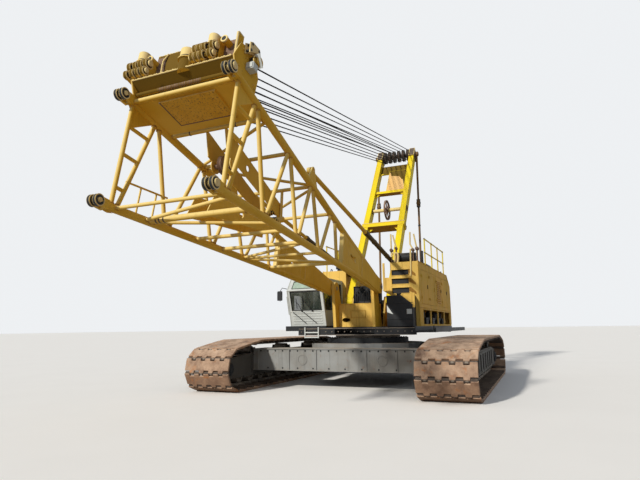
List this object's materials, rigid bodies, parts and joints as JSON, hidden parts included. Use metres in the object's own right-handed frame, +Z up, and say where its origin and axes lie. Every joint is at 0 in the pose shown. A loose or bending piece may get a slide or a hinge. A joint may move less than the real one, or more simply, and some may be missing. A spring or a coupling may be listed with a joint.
{
  "type": "crawler crane",
  "caption": "Lattice-boom crawler crane on wide tracks, parked with only its boom's foot section fitted, gantry raised, cab at the front corner, no counterweight",
  "frame": {"origin": "on the ground, at the centre of the bounding box", "axes": "+X forwards, along the boom; +Y to the crane's left; +Z up"},
  "size_m": [14.9842, 7.46, 8.9241],
  "materials": {
    "boom_ochre": "sun-bleached ochre paint, rust at edges and welds",
    "gantry_yellow": "bright lemon paint, lightly streaked",
    "house_yellow": "faded orange-yellow sheet, rust streaks",
    "cab_grey": "pale grey paint, dusty",
    "undercarriage_grey": "worn grey paint under dust",
    "machine_dark": "near-black, greasy",
    "track_rust": "dusty rust",
    "worn_steel": "greased, partly bare",
    "rope_steel": "dark greased wire",
    "cab_glazing": "green-tinted, dusty",
    "seat_cloth": "dark worn cloth"
  },
  "bodies": {
    "undercarriage": {"carbody": "undercarriage_grey", "slew_ring_outer": "machine_dark", "track_frames": "undercarriage_grey", "track_rollers": "worn_steel", "track_wheels": "track_rust", "travel_gearboxes": "machine_dark", "track_left": "track_rust", "track_right": "track_rust"},
    "upperworks": {"upper_frame": "machine_dark", "slew_ring_inner": "worn_steel", "foot_columns": "house_yellow", "foot_pins": "worn_steel", "centre_box": "house_yellow", "house_left": "house_yellow", "house_right": "house_yellow", "engine": "machine_dark", "side_tank": "machine_dark", "walkways": "machine_dark", "handrails": "gantry_yellow", "cab_shell": "cab_grey", "cab_glass": "cab_glazing", "cab_seat": "seat_cloth", "cab_fittings": "cab_grey", "gantry_legs": "gantry_yellow", "gantry_head": "track_rust", "gantry_links": "boom_ochre", "drum_stands": "house_yellow"},
    "left_door": {"house_door_left": "house_yellow"},
    "right_door": {"house_door_right": "house_yellow"},
    "cab_door": {"cab_door": "cab_grey"},
    "head_sheaves": {"head_sheaves": "track_rust"},
    "leg_sheave": {"leg_sheave": "track_rust"},
    "front_drum": {"hoist_drum_front": "machine_dark"},
    "rear_drum": {"hoist_drum_rear": "machine_dark"},
    "luffing_drum": {"luffing_drum": "machine_dark"},
    "boom": {"boom_side_left": "boom_ochre", "boom_side_right": "boom_ochre", "boom_lacing": "boom_ochre", "boom_end_deck": "boom_ochre", "boom_end_lugs": "boom_ochre", "boom_inner_frame": "boom_ochre", "bridle_frame": "boom_ochre"},
    "guide_sheave": {"boom_guide_sheave": "track_rust"},
    "bridle_sheaves": {"bridle_sheaves": "track_rust"},
    "backstop_tubes": {"backstop_tubes": "boom_ochre"},
    "backstop_rods": {"backstop_rods": "boom_ochre"},
    "luffing_ropes": {"luffing_ropes": "rope_steel"}
  },
  "joints": [
    {"name": "slewing", "type": "hinge", "parent": "undercarriage", "child": "upperworks", "pos_m": [-2.4321, 0, 1.3], "axis": [0, 0, 1], "continuous": true},
    {"name": "left_door_hinge", "type": "hinge", "parent": "upperworks", "child": "left_door", "pos_m": [-3.3421, 1.822, 2.85], "axis": [0, 0, -1], "range_deg": [0, 95]},
    {"name": "right_door_hinge", "type": "hinge", "parent": "upperworks", "child": "right_door", "pos_m": [-3.3421, -1.822, 2.85], "axis": [0, 0, 1], "range_deg": [0, 95]},
    {"name": "cab_door_hinge", "type": "hinge", "parent": "upperworks", "child": "cab_door", "pos_m": [-2.4781, -2.322, 2.25], "axis": [0, 0, -1], "range_deg": [0, 90]},
    {"name": "head_sheaves_turn", "type": "hinge", "parent": "upperworks", "child": "head_sheaves", "pos_m": [-7.0321, 0, 8.66], "axis": [0, -1, 0], "continuous": true},
    {"name": "leg_sheave_turn", "type": "hinge", "parent": "upperworks", "child": "leg_sheave", "pos_m": [-5.19935, 0, 5.98204], "axis": [0, -1, 0], "continuous": true},
    {"name": "front_drum_turn", "type": "hinge", "parent": "upperworks", "child": "front_drum", "pos_m": [-3.7821, 0, 2.25], "axis": [0, -1, 0], "continuous": true},
    {"name": "rear_drum_turn", "type": "hinge", "parent": "upperworks", "child": "rear_drum", "pos_m": [-4.9321, 0, 2.25], "axis": [0, -1, 0], "continuous": true},
    {"name": "luffing_drum_turn", "type": "hinge", "parent": "upperworks", "child": "luffing_drum", "pos_m": [-6.0321, 0, 2.2], "axis": [0, -1, 0], "continuous": true},
    {"name": "boom_luffing", "type": "hinge", "parent": "upperworks", "child": "boom", "pos_m": [-1.2801, 0, 2.8], "axis": [0, -1, 0], "range_deg": [-23.34, 58.33]},
    {"name": "guide_sheave_turn", "type": "hinge", "parent": "boom", "child": "guide_sheave", "pos_m": [5.54763, 0, 4.54719], "axis": [0, -1, 0], "continuous": true},
    {"name": "bridle_sheaves_turn", "type": "hinge", "parent": "boom", "child": "bridle_sheaves", "pos_m": [6.33149, 0, 5.89358], "axis": [0, -1, 0], "continuous": true},
    {"name": "backstop_swing", "type": "hinge", "parent": "upperworks", "child": "backstop_tubes", "pos_m": [-3.4521, 0, 3.44], "axis": [0, -1, 0], "range_deg": [-18, 45]},
    {"name": "backstop_slide", "type": "slide", "parent": "backstop_tubes", "child": "backstop_rods", "axis": [0.9819, 0, 0.1895], "range_m": [-1.71, 0.7]},
    {"name": "rope_swing", "type": "hinge", "parent": "upperworks", "child": "luffing_ropes", "pos_m": [-7.0321, 0, 8.66], "axis": [0, -1, 0], "range_deg": [-12, 30], "deforming": ["luffing_ropes"]}
  ],
  "couplings": [
    {"joint": "backstop_swing", "follows": "boom_luffing", "ratio": 0.765},
    {"joint": "backstop_slide", "follows": "boom_luffing", "m_per_rad": -1.64},
    {"joint": "rope_swing", "follows": "boom_luffing", "ratio": 0.509}
  ]
}
